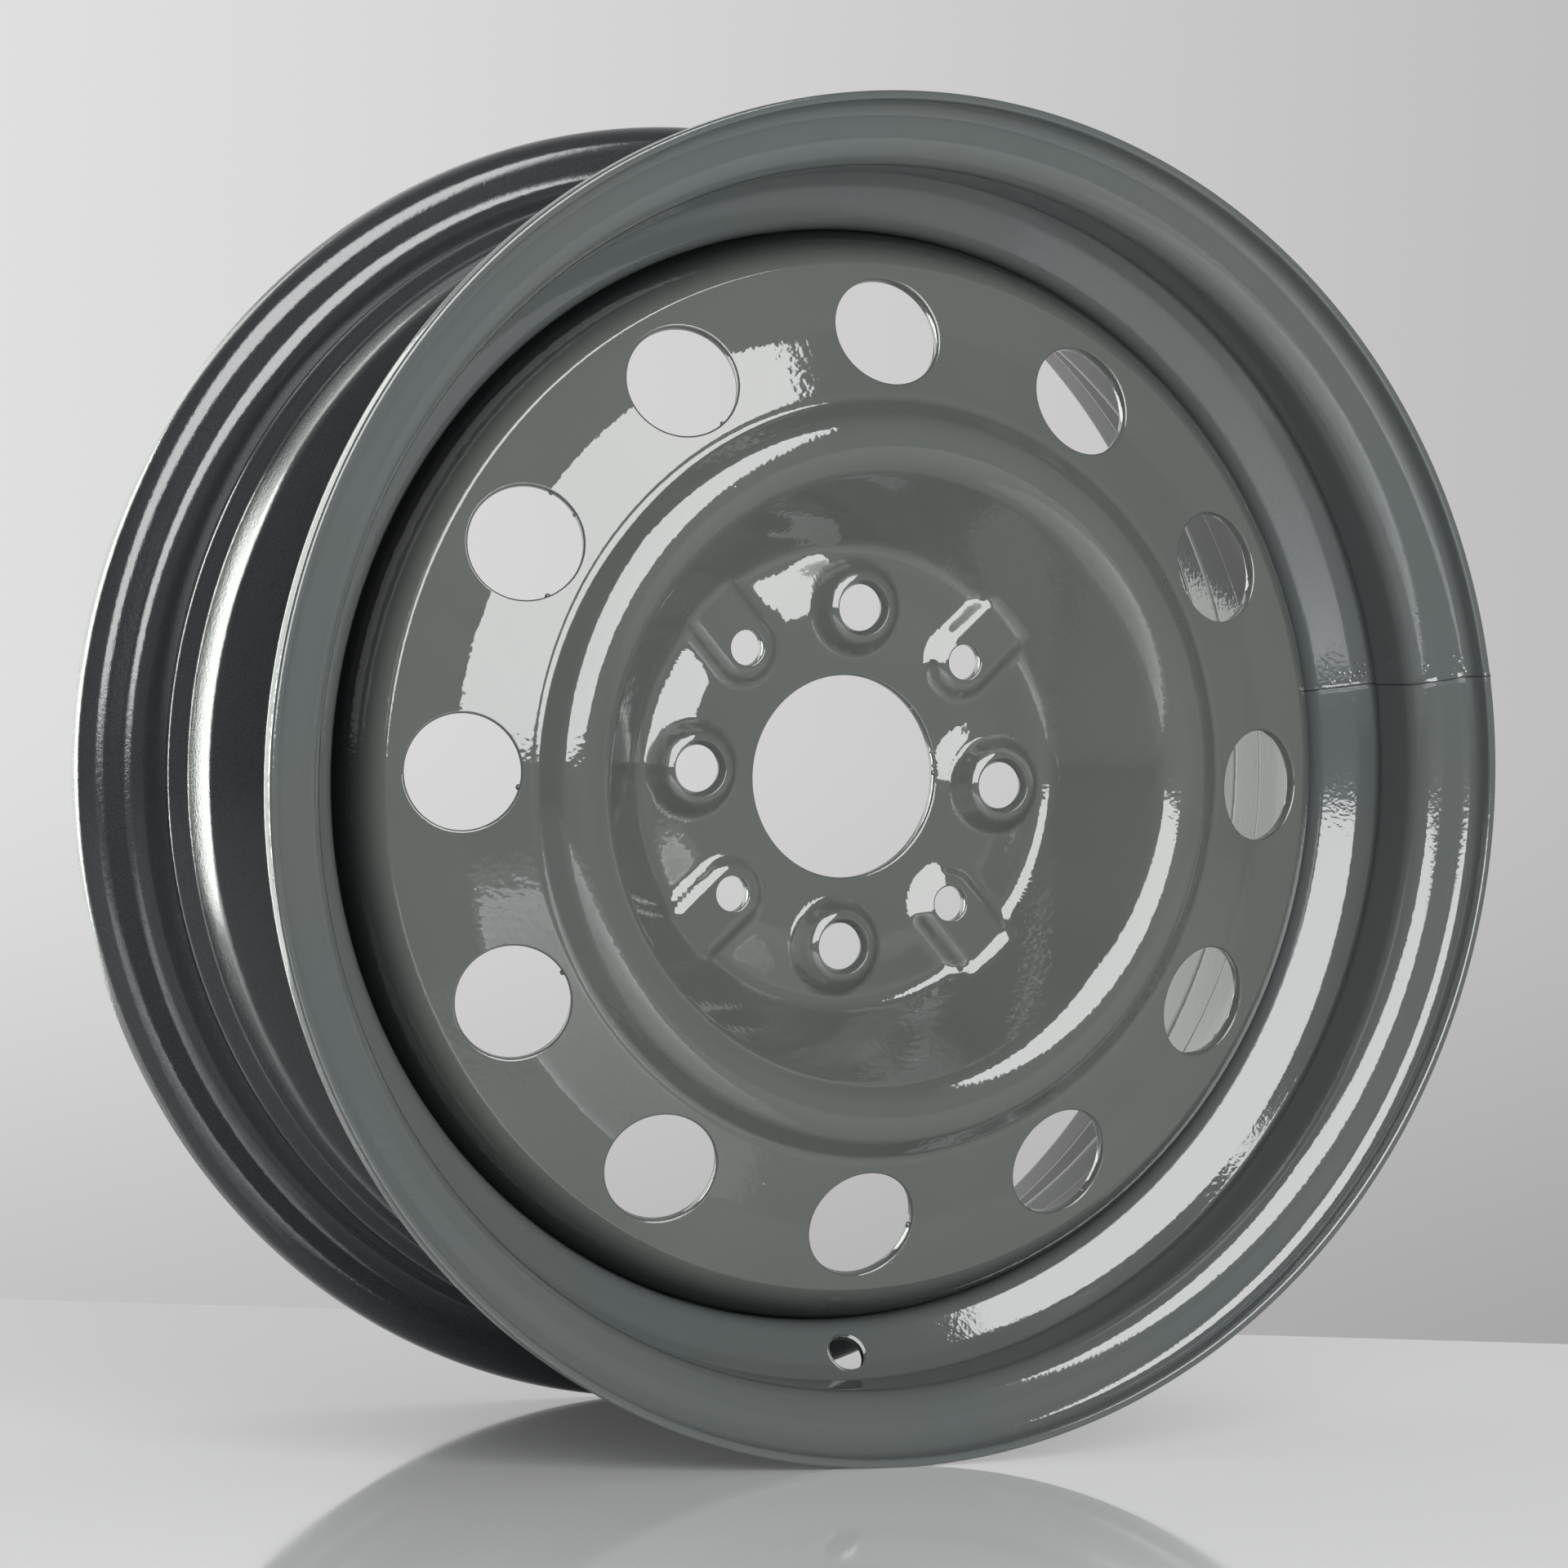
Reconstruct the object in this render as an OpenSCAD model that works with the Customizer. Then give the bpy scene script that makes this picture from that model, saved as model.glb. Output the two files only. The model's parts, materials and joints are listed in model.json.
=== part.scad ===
// Pressed-steel road wheel: a rolled rim hoop, a pressed disc and the welds between them.
// The wheel's axis lies along Y and its outboard face looks towards -Y. The origin is the
// centre of the hub bore on the mounting face. Depths are measured outboard from that face.

/* [Rim] */
// Diameter of the bead seats, at the corner with the flange
seat_dia = 354.8; // [300:0.1:460]
// Width between the flanges
rim_width = 139.7; // [114.3:0.1:203.2]
// Distance from the middle of the rim to the mounting face
wheel_offset = 33; // [20:0.5:45]
// Sheet thickness of the rim
rim_sheet = 2.5; // [2:0.1:3.2]
// Height of a flange above its bead seat
flange_height = 17.3; // [15:0.1:20]
// How far a rolled lip reaches out beyond its flange
lip_reach = 11.2; // [9.5:0.1:14]
// Radius of the curl between flange and lip, on the tyre side
curl_radius = 7.3; // [5:0.1:9]
// Radius between flange and bead seat, on the tyre side
seat_corner_radius = 6.5; // [5:0.1:8]
// Taper of the bead seats in degrees
seat_taper = 5; // [3:0.5:6]
// Length of a bead seat, from the flange to the hump
seat_length = 18.3; // [15:0.1:20]
// Height of a safety hump above the end of its bead seat
hump_height = 1.2; // [0.5:0.1:2]
// Length over which a hump rises from its seat
hump_rise = 2.8; // [2.2:0.1:4]
// Length of the outboard hump's crest
hump_crest = 3.7; // [3.3:0.1:5]
// Depth of the well below the corner of the bead seats
well_depth = 16.9; // [14:0.1:20]
// Distance from the middle of the rim to the well's outboard end
well_front = 34; // [30:0.5:38]
// Distance from the middle of the rim to the well's inboard end
well_back = 11; // [5:0.5:15]
// Distance from the middle of the rim to the top of the inboard ramp
ramp_top = 26; // [23:0.5:30]
// Depth of the inboard ledge below the corner of the bead seats
ledge_depth = 5.4; // [4:0.1:7]
// Length of the slope from the inboard ledge up to its hump
ledge_slope = 4.4; // [3.5:0.1:6]
// Rounding of the humps and their slopes, on the tyre side
hump_rounding = 4; // [3:0.1:4.5]
// Rounding at the top of the outboard slope, on the tyre side
slope_rounding = 5; // [3.5:0.1:6]
// Rounding at the outboard end of the well, on the tyre side
well_rounding = 6; // [4:0.1:8]
// Roundings at both ends of the inboard ramp, on the tyre side
ramp_rounding = 10; // [5:0.5:12]
// Diameter of the valve hole
valve_dia = 11.5; // [10:0.1:16]
// Share of the way down the outboard slope at which the valve hole sits
valve_place = 0.5; // [0.4:0.05:0.6]
// Angle of the valve hole against the lowest vent in degrees
valve_turn = 1.3; // [-15:0.1:15]

/* [Disc] */
// Sheet thickness of the disc
disc_sheet = 3.5; // [2.5:0.1:4.2]
// Radial clearance between the disc's flange and the rim's well
press_clearance = 0.05; // [0.02:0.01:0.2]
// Depth of the disc's inboard edge behind the mounting face
flange_end = 22.5; // [18:0.5:26]
// Flat of the hub face that is left outside the bolt collars
hub_margin = 0.3; // [0.2:0.1:3]
// Angle of the bowl wall in degrees
wall_angle = 54; // [48:1:60]
// Radius of the fillet between hub face and bowl wall
bowl_fillet = 6; // [3:0.5:10]
// Angle of the crest's outer flank in degrees
flank_angle = 35; // [28:1:42]
// Radius of the crest ring's rounding
crest_rounding = 12; // [8:0.5:15]
// Radius of the valley between crest and vents
valley_fillet = 6; // [3:0.5:12]
// Radius of the valley ring
valley_radius = 108.5; // [106:0.1:111]
// Angle of the vent ring in degrees
vent_angle = 20; // [12:0.5:26]
// Radius of the disc's outer shoulder
shoulder_rounding = 24; // [10:0.5:28]

/* [Vents] */
// Number of vents
vent_count = 12; // [8:1:14]
// Diameter of a vent
vent_dia = 32.4; // [24:0.1:36]
// Pitch radius of the vents
vent_radius = 128.2; // [126:0.1:130]
// Depth of the vent ring's front at the pitch radius
vent_depth = 22.8; // [18:0.1:28]

/* [Hub] */
// Diameter of the centre bore
bore_dia = 58.6; // [50:0.1:62]
// Diameter of the bolt circle
bolt_circle = 98; // [94:0.1:102]
// Diameter of a bolt hole
bolt_dia = 13.5; // [11:0.1:15]
// Angle of the bolt holes against the vents in degrees
bolt_turn = -2; // [-10:0.5:10]
// Height of a bolt collar above the hub face
collar_height = 6; // [4:0.1:7]
// Radius of a collar's top, at the corner with its outer slope
collar_top = 10.6; // [10:0.1:11]
// Radius of a collar's foot, at the corner with the hub face
collar_foot = 13; // [12.6:0.1:13.6]
// Rounding of a collar's top
collar_rounding = 4.5; // [4.3:0.1:4.8]
// Fillet at a collar's foot
collar_fillet = 2; // [1:0.1:2.5]
// Full angle of a bolt hole's conical seat in degrees
seat_cone = 60; // [50:1:90]
// Depth of a conical seat below the collar's top
seat_depth = 2.3; // [1.5:0.1:3]
// Diameter of a locating-pin hole
pin_dia = 10.2; // [8:0.1:11]
// Pitch radius of the locating-pin holes
pin_radius = 49.9; // [48:0.1:51]
// Height of a pad above the hub face
pad_height = 3.5; // [3:0.1:4.5]
// Half width of a pad's top, at the corner with its slope
pad_top = 7.6; // [7:0.1:8.5]
// Half width of a pad's foot, at the corner with the hub face
pad_foot = 11.1; // [10.8:0.1:12]
// Rounding of a pad's top
pad_rounding = 4.5; // [4.3:0.1:4.8]
// Fillet at a pad's foot
pad_fillet = 3.5; // [1.5:0.1:4]

/* [Welds] */
// Number of weld beads
weld_count = 8; // [4:1:12]
// Angle that a weld bead covers in degrees
weld_angle = 28; // [15:1:29]
// Leg of a weld bead
weld_leg = 3.2; // [2.5:0.1:3.5]

/* [Hidden] */
$fn = 96;

// How far cutting solids reach past the flat faces that they open
overcut = 1;
// How far the cutters of vents and valve hole reach past the curved sheet
sheet_overcut = 3;
// How far a pad runs on beneath the bowl wall
pad_run = 10;
// Largest turn in degrees between two points of a rounded corner
arc_step = 12;
// Share of a boss's last facet by which its foot runs on below the hub face
boss_sink = 0.3;
// Bolts and locating pins alternate around the hub
bolt_count = 4;
pin_turn = bolt_turn + 180 / bolt_count;

// Rim sizes that follow from the driving ones
seat_r = seat_dia / 2;
lip_r = seat_r + flange_height;
well_r = seat_r - well_depth;
well_inner_r = well_r - rim_sheet;
half_width = rim_width / 2;
seat_end = half_width - seat_length;
seat_end_r = seat_r - seat_length * tan(seat_taper);
hump_r = seat_end_r + hump_height;
hump_end = seat_end - hump_rise;
slope_top = hump_end - hump_crest;

// Disc sizes that follow from the driving ones
disc_r = well_inner_r - press_clearance;
vent_cone = function(r) vent_depth - (r - vent_radius) * tan(vent_angle);
valley_depth = vent_cone(valley_radius);
// The hub face is flat as far as the bolt collars reach, and then rises into the bowl wall
collar_slope = atan2(collar_height, collar_foot - collar_top);
collar_reach = collar_foot + collar_fillet * tan(collar_slope / 2);
hub_radius = bolt_circle / 2 + collar_reach + hub_margin + bowl_fillet * tan(wall_angle / 2);
// The bowl wall and the crest's outer flank meet here, before the crest is rounded
crest_r = (valley_depth - disc_sheet + valley_radius * tan(flank_angle) + hub_radius * tan(wall_angle))
    / (tan(wall_angle) + tan(flank_angle));
crest_depth = disc_sheet + (crest_r - hub_radius) * tan(wall_angle);
pad_length = hub_radius + pad_run - pin_radius;

// Path geometry: a path is a list of corners [x, y, rounding]

function xy(p) = [p[0], p[1]];
function unit(v) = v / norm(v);
function left_of(v) = [-v[1], v[0]];
function heading(c, i) = unit(xy(c[i + 1]) - xy(c[i]));
function is_end(c, i) = i == 0 || i == len(c) - 1;
function turn_side(c, i) = sign(cross(heading(c, i - 1), heading(c, i)));
function mitre(a, b) = (a + b) / (1 + a * b);

// Corner of a path that runs a distance to the left of another one, with its rounding
function moved_corner(c, i, distance) =
    let (
        before = left_of(heading(c, max(i - 1, 0))),
        after = left_of(heading(c, min(i, len(c) - 2))),
        place = xy(c[i]) + mitre(before, after) * distance
    )
    [place[0], place[1], is_end(c, i) ? 0 : c[i][2] - turn_side(c, i) * distance];

function moved(c, distance) = [for (i = [0 : len(c) - 1]) moved_corner(c, i, distance)];

// Points of the arc that rounds corner i
function corner_arc(c, i) =
    let (
        back = -heading(c, i - 1),
        on = heading(c, i),
        half = acos(back * on) / 2,
        turn = (180 - 2 * half) * turn_side(c, i),
        centre = xy(c[i]) + unit(back + on) * c[i][2] / sin(half),
        start = xy(c[i]) + back * c[i][2] / tan(half) - centre,
        first = atan2(start[1], start[0]),
        steps = max(2, ceil(abs(turn) / arc_step))
    )
    [for (k = [0 : steps]) centre + c[i][2] * [cos(first + turn * k / steps), sin(first + turn * k / steps)]];

function rounded(c) =
    [for (i = [0 : len(c) - 1]) each is_end(c, i) || c[i][2] == 0 ? [xy(c[i])] : corner_arc(c, i)];

function reversed(points) = [for (i = [len(points) - 1 : -1 : 0]) points[i]];

// Stands the wheel up: the local axis, with depth outboard, becomes -Y
module upright() {
    rotate([90, 0, 0]) children();
}

// Copies a shape round the axis
module around(count, first = 0) {
    for (k = [0 : count - 1]) rotate(first + k * 360 / count) children();
}

// Rim

// Tyre side of the rim from the outboard lip to the inboard lip: [radius, distance from the middle, rounding]
rim_path = [
    [lip_r, half_width + lip_reach, 0],
    [lip_r, half_width, curl_radius],
    [seat_r, half_width, seat_corner_radius],
    [seat_end_r, seat_end, hump_rounding],
    [hump_r, hump_end, hump_rounding],
    [hump_r, slope_top, slope_rounding],
    [well_r, well_front, well_rounding],
    [well_r, -well_back, ramp_rounding],
    [seat_r - ledge_depth, -ramp_top, ramp_rounding],
    [seat_r - ledge_depth, -hump_end + ledge_slope, hump_rounding],
    [hump_r, -hump_end, hump_rounding],
    [seat_end_r, -seat_end, hump_rounding],
    [seat_r, -half_width, seat_corner_radius],
    [lip_r, -half_width, curl_radius],
    [lip_r, -half_width - lip_reach, 0]
];

// Middle of the sheet at the valve hole, and the slope's angle there
rim_middle = moved(rim_path, -rim_sheet / 2);
valve_top = xy(rim_middle[5]);
valve_bottom = xy(rim_middle[6]);
valve_point = valve_top + (valve_bottom - valve_top) * valve_place;
valve_lean = atan2(valve_top[1] - valve_bottom[1], valve_top[0] - valve_bottom[0]);

module rim_sheet_section() {
    polygon(concat(rounded(rim_path), reversed(rounded(moved(rim_path, -rim_sheet)))));
}

module valve_hole() {
    rotate([0, 0, valve_turn - 90]) translate([valve_point[0], 0, valve_point[1]]) rotate([0, -valve_lean, 0])
        cylinder(d = valve_dia, h = rim_sheet + 2 * sheet_overcut, center = true);
}

module rim() {
    color("slategray") upright() translate([0, 0, -wheel_offset]) difference() {
        rotate_extrude() rim_sheet_section();
        valve_hole();
    }
}

// Disc

// Front of the disc from the bore to its inboard edge: [radius, depth, rounding]
disc_path = [
    [bore_dia / 2, disc_sheet, 0],
    [hub_radius, disc_sheet, bowl_fillet],
    [crest_r, crest_depth, crest_rounding],
    [valley_radius, valley_depth, valley_fillet],
    [disc_r, vent_cone(disc_r), shoulder_rounding],
    [disc_r, -flange_end, 0]
];

// A collar and a pad, from the middle outwards: [distance, height above the hub face, rounding]
collar_path = [
    [0, collar_height, 0],
    [collar_top, collar_height, collar_rounding],
    [collar_foot, 0, collar_fillet],
    [collar_foot + collar_top, 0, 0]
];
pad_path = [
    [0, pad_height, 0],
    [pad_top, pad_height, pad_rounding],
    [pad_foot, 0, pad_fillet],
    [pad_foot + pad_top, 0, 0]
];

// Outline of a pressed boss: its rounded path down to the hub face, run on a little below that face
function boss_outline(path) =
    let (
        points = rounded(path),
        used = [for (i = [0 : len(points) - 2]) points[i]],
        foot = used[len(used) - 1],
        sunk = foot + (foot - used[len(used) - 2]) * boss_sink
    )
    concat(used, [sunk, [sunk[0], foot[1] - overcut], [0, foot[1] - overcut]]);

module dish(path, foot) {
    points = rounded(path);
    first = points[0];
    last = points[len(points) - 1];
    rotate_extrude() polygon(concat(points, [[last[0], foot], [first[0], foot]]));
}

// A round boss on the hub face
module boss(path) {
    translate([0, 0, disc_sheet]) rotate_extrude() polygon(boss_outline(path));
}

// A boss that is drawn out into a ridge of some length along +X
module ridge(path, length) {
    outline = boss_outline(path);
    one_side = [for (p = outline) if (p[0] > 0) p];
    other_side = [for (p = reversed(one_side)) [-p[0], p[1]]];
    translate([0, 0, disc_sheet]) {
        rotate(90) rotate_extrude(angle = 180) polygon(outline);
        rotate([90, 0, 90]) linear_extrude(length) polygon(concat(one_side, other_side));
    }
}

// The space under a surface of the disc, with the surface moved back by some part of the sheet
module under_surface(back, foot, bore) {
    inner = [bore, disc_sheet, 0];
    path = [for (i = [0 : len(disc_path) - 1]) i == 0 ? inner : disc_path[i]];
    dish(moved(path, -back), foot);
    around(bolt_count, bolt_turn) translate([bolt_circle / 2, 0, 0]) boss(moved(collar_path, -back));
    around(bolt_count, pin_turn) translate([pin_radius, 0, 0]) ridge(moved(pad_path, -back), pad_length);
}

module bolt_holes() {
    top = disc_sheet + collar_height;
    seat_r1 = bolt_dia / 2;
    seat_r2 = seat_r1 + (seat_depth + overcut) * tan(seat_cone / 2);
    around(bolt_count, bolt_turn) translate([bolt_circle / 2, 0, 0]) {
        translate([0, 0, -overcut]) cylinder(d = bolt_dia, h = top);
        translate([0, 0, top - seat_depth]) cylinder(r1 = seat_r1, r2 = seat_r2, h = seat_depth + overcut);
    }
}

module pin_holes() {
    around(bolt_count, pin_turn) translate([pin_radius, 0, -overcut])
        cylinder(d = pin_dia, h = disc_sheet + pad_height + 2 * overcut);
}

module vents() {
    around(vent_count) translate([vent_radius, 0, vent_depth]) rotate([0, vent_angle, 0])
        cylinder(d = vent_dia, h = 2 * (disc_sheet + sheet_overcut), center = true);
}

module disc() {
    color("dimgray") upright() difference() {
        under_surface(0, -flange_end, bore_dia / 2);
        under_surface(disc_sheet, -flange_end - overcut, bore_dia / 2 - overcut);
        bolt_holes();
        pin_holes();
        vents();
    }
}

// Welds

// A bead fills the corner between the disc's inboard edge and the inside of the well
module weld_beads() {
    corner = [well_inner_r, -flange_end];
    color("gray") upright() around(weld_count, -weld_angle / 2) rotate_extrude(angle = weld_angle)
        polygon([corner, corner - [0, weld_leg], corner - [weld_leg, 0]]);
}

rim();
disc();
weld_beads();
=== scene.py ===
import json
import math

import bmesh
import bpy
import numpy as np
from mathutils import Matrix, Vector


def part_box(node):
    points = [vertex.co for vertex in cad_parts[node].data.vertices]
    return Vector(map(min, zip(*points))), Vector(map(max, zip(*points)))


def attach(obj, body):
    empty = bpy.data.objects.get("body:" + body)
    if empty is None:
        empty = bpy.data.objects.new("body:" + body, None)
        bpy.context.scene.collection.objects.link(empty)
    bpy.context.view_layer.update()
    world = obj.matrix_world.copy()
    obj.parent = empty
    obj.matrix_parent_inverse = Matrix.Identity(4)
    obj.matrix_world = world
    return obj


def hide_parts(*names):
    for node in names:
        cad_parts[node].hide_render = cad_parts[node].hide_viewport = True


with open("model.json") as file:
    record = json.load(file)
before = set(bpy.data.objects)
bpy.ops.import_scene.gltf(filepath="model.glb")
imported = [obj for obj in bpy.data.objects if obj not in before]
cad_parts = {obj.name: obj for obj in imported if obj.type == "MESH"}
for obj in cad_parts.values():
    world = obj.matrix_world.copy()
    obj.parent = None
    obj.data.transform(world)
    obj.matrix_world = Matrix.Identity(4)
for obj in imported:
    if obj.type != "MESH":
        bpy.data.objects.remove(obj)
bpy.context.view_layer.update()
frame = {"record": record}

# Sizes are in millimetres, depths are measured outboard from the mounting face, and angles are in degrees.
MM = 0.001
mounts = {m["name"]: m for m in frame["record"]["mounts"]}
rim_low, rim_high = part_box("rim")
_, disc_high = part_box("disc")
weld_low, weld_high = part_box("weld_beads")

# Rim
LIP_R = rim_high.x / MM
RIM_FRONT = -rim_low.y / MM
RIM_BACK = -rim_high.y / MM
RIM_MIDDLE = (RIM_FRONT + RIM_BACK) / 2
RIM_SHEET = 2.5
FLANGE_HEIGHT = 17.3
LIP_REACH = 11.2
CURL_RADIUS = 7.3
SEAT_CORNER = 6.5
SEAT_TAPER = 5
SEAT_LENGTH = 18.3
HUMP_HEIGHT = 1.2
HUMP_RISE = 2.8
HUMP_CREST = 3.7
HUMP_ROUNDING = 4
WELL_DEPTH = 16.9
WELL_FRONT = 34
WELL_BACK = 11
RAMP_TOP = 26
RAMP_ROUNDING = 10
SLOPE_ROUNDING = 5
WELL_ROUNDING = 6
LEDGE_DEPTH = 5.4
LEDGE_SLOPE = 4.4
RIM_EDGE = 0.9

# The rim's mesh: columns, and the turn per step, the step and the longest step along its section
RIM_COLUMNS = 400
RIM_TURN = 12
RIM_STEP = 1.6
RIM_LONG_STEP = 9

# Tilts that the rim is shaded with: of the outboard slope's two ends, with the share where it bends, and of
# the ledge
SLOPE_TILT = (33, 47)
SLOPE_BEND = (0.62, 0.78)
LEDGE_TILT = 5

# Valve hole
VALVE_R = mounts["valve_hole"]["dims"]["r_mm"]
VALVE_PLACE = Vector(mounts["valve_hole"]["pos_m"])
VALVE_ANGLE = math.degrees(math.atan2(VALVE_PLACE.z, VALVE_PLACE.x))
VALVE_EDGE = 0.5
VALVE_COLUMNS = 10
VALVE_RINGS = 6
VALVE_ROUNDING = (30, 60, 90)

# Butt-weld seam across the rim
SEAM_ANGLE = 10.2
SEAM_HALF_WIDTH = 1.6
SEAM_HEIGHT = 0.13
SEAM_COLUMNS = 9
SEAM_CLEARANCE = 1.5

# Disc
DISC_R = disc_high.x / MM
DISC_EDGE_DEPTH = -disc_high.y / MM
DISC_SHEET = mounts["centre_bore"]["dims"]["length_mm"]
DISC_EDGE = 0.8
WALL_ANGLE = 54
WALL_START = 20
BOWL_FILLET = 6
HUB_RADIUS = 66.71
CREST = (93.63, 40.55)
CREST_ROUNDING = 12
VALLEY_RADIUS = 108.5
VALLEY_FILLET = 6
SHOULDER_ROUNDING = 24
VENT_COUNT = 12
VENT_ANGLE = 20
VENT_R = 16.2
VENT_RADIUS = 128.2
VENT_DEPTH = 22.8
VENT_EDGE = 0.7

# Hub: collars and pads are profiles of distance, height and rounding
BORE_R = mounts["centre_bore"]["dims"]["r_mm"]
BOLT_COUNT = mounts["bolt_circle"]["dims"]["count"]
BOLT_RADIUS = mounts["bolt_circle"]["dims"]["pcd_mm"] / 2
BOLT_R = mounts["bolt_circle"]["dims"]["hole_r_mm"]
BOLT_TURN = -2
SEAT_CONE = 60
SEAT_DEPTH = 2.3
SEAT_TOP_R = BOLT_R + SEAT_DEPTH * math.tan(math.radians(SEAT_CONE / 2))
SEAT_ROUNDINGS = (0.35, 0.6)
PIN_RADIUS = mounts["locating_pins"]["dims"]["pcd_mm"] / 2
PIN_R = mounts["locating_pins"]["dims"]["hole_r_mm"]
PIN_TURN = BOLT_TURN + 180 / BOLT_COUNT
COLLAR = [[0, 6, 0], [10.6, 6, 4.5], [13, 0, 2], [23.6, 0, 0]]
PAD = [[0, 3.5, 0], [7.6, 3.5, 4.5], [11.1, 0, 3.5], [18.7, 0, 0]]
HOLE_EDGE = 0.5

# The disc's mesh. A sector's rings are counted in front and behind, and graded in width.
DISC_COLUMNS = 360
HUB_BAND = (BORE_R + DISC_EDGE, 86)
VENT_BAND = (110.9, 146)
HUB_SIDE_ROWS = 20
VENT_SIDE_ROWS = 16
HUB_RINGS = (19, 13, 1.4)
VENT_RINGS = (9, 3, 1.2)
# Steps at the end of each bolt hole's wall that are painted near black as shade
SHADED_BORE_STEPS = 8
CREST_ROWS = [(HUB_BAND[1], 107.4, 22), (107.9, VENT_BAND[0], 9)]
CREST_BACK_ROWS = 12
SHOULDER_STEPS = (146, 147.3, 147.55, 147.8, 148.1)
SHOULDER_GAP = 0.5
SHOULDER_TURN = 5
SHOULDER_STEP = 12
EDGE_TURN = 30
EDGE_STEP = 4
SEAT_TURN = 20
SEAT_STEP = 2

# Fine relief of the disc, as slopes that its shading adds. Four distances say where a slope starts, is full,
# starts to fade and ends.
CREASE_RADIUS = 110.0
CREASE_WIDTH = 0.65
CREASE_SLOPE = 0.34
CREST_WALL = (102.6, 104.4, 107.5, 108.7)
CREST_WALL_SLOPE = -0.4
FLAT_RING = (126.5, 132, 147.4, 148)
FLAT_RING_TILT = 1
HUB_FALL = (47, 57, 61, 66.5)
HUB_FALL_SLOPE = -0.33
PAD_MARGIN = (11.3, 15.3)
PLAIN_HEIGHT = (0.02, 0.8)
SIDE_FADE = 15

# The collars' softer flanks: slopes at distances from the bolt
COLLAR_FLANK = [(9.8, 0.75), (10.4, 1.1), (11.5, 1.5), (13, 1.25), (14.2, 0.8), (15, 0), (15.3, 0)]

# Flat facets of two pads' tips and low skirts of two collars, each on one side of a pin or bolt
PAD_TIPS = [
    {"pin": -47, "side": 152, "half": 56, "end": 12.4, "foot": 13.6, "facing": 138, "fall": 0.27},
    {"pin": 43, "side": 147, "half": 36, "end": 11.6, "foot": 12.8, "facing": 138, "fall": 0.27},
]
SKIRTS = [
    {"bolt": -2, "side": 140, "half": 52, "reach": (13.5, 16.5, 20, 25), "fall": 0.27},
    {"bolt": 88, "side": 160, "half": 45, "reach": (13, 16, 20, 26), "fall": 0.24},
]

# Weld beads
WELD_R = weld_high.x / MM
WELD_DEPTH = -weld_low.y / MM
WELD_COUNT = 8
WELD_ARC = 28
WELD_LEG = 3.2
WELD_BULGE = 0.35
WELD_RIPPLE = 1.7
WELD_RIPPLE_HEIGHT = 0.16
WELD_COLUMNS = 120
WELD_FACE_POINTS = 9
WELD_BLUNTNESS = 30

# Beads of dried paint on the edges of holes: the vent's angle, the place round the hole, and the size
VENT_NUBS = [
    (150, 272, 0.6), (150, 240, 0.5), (150, 142, 0.9), (180, 166, 0.9),
    (210, 184, 0.9), (120, 192, 0.7), (270, 86, 0.9), (300, 20, 0.6),
]
BORE_NUBS = [(3, 0.8), (7, 0.55), (15, 0.5), (43, 0.45), (-38, 0.4)]
NUB_RINGS = 9
NUB_COLUMNS = 12

# Paint colours
DISC_GREY = (0.098, 0.108, 0.101, 1)
DISC_GREY_WARM = (0.108, 0.116, 0.106, 1)
DUST = (0.42, 0.42, 0.4, 1)
# Painted shade: near black, laid in the groove beside the rim and deep in the bolt holes
PAINTED_SHADE_BLACK = (0.004, 0.004, 0.005, 1)
RIM_GREY = (0.1, 0.109, 0.106, 1)
RIM_GREY_BLUE = (0.095, 0.106, 0.107, 1)
SEAM_DARK = (0.03, 0.034, 0.036, 1)
TYRE_DARK = (0.045, 0.048, 0.053, 1)
TYRE_BLUE = (0.062, 0.067, 0.074, 1)
FLOOR_PALE = (0.83, 0.835, 0.84, 1)
FLOOR_GREY = (0.79, 0.795, 0.8, 1)

# Roughness, from the smoothest places to the dullest
DISC_GLOSS = (0.035, 0.075)
# Roughness of the bolt holes' steps that are painted near black as shade
SHADED_BORE_ROUGHNESS = 0.45
RIM_GLOSS = (0.05, 0.1)
TYRE_SATIN = (0.11, 0.15)
WELD_SATIN = (0.15, 0.3)
FLOOR_GLOSS = (0.03, 0.07)
SCUFF_ROUGHNESS = 0.05

# Unevenness of the paints: the noise's scale and its height in metres
DISC_WAVES = (38.0, 0.00006)
DISC_PEEL = (480.0, 0.00005)
RIM_WAVES = (30.0, 0.00006)
RIM_PEEL = (620.0, 0.000042)
ROLLED_LINES = (900.0, 0.000006)
ROLLED_STRETCH = 0.004
TYRE_GRAIN = (2600.0, 0.000025)
WELD_CRUST = (900.0, 0.00008)

# Dust and spatter: the dots' scale and size, the patches' scale and bounds, and the height in metres
DUST_DOTS = (90.0, 0.035)
DUST_PATCHES = (31.0, 0.55, 0.6)
DUST_HEIGHT = 0.00008
SPATTER_DOTS = (620.0, 0.45)
SPATTER_PATCHES = (140.0, 0.45, 0.6)
SPATTER_HEIGHT = 0.0002

# In metres: the spatter's start and end above the seam, the seam's line, and where painted shade darkens the
# groove beside the rim, by radius and place along the axle
SPATTER_START = (0.0005, 0.0015)
SPATTER_END = (0.004, 0.011)
SEAM_LINE = (0.0001, 0.0003)
SEAM_LINE_DEPTH = -0.00012
GROOVE_SHADE_R = (0.1475, 0.157)
GROOVE_SHADE_Y = (0.006, 0.0)

# Floor: how far its edges are from the camera, in metres, its own light, and its scuffs
FLOOR_NEAR = 0.7
FLOOR_FAR = 1.985
FLOOR_HALF_WIDTH = 1.6
FLOOR_GLOW = 0.06
SCUFF_STRETCH = (3.0, 40.0, 1.0)
SCUFF_SCALE = 20.0
SCUFF_BOUNDS = (0.62, 0.75)

# Backdrop: its reach to either side, its brightness there, and its darker foot
BACKDROP_SPAN = (-0.3, 0.3)
BACKDROP = (0.783, 0.442)
BACKDROP_FOOT = (-0.15, -0.01, 0.72, 1.03)

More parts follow.
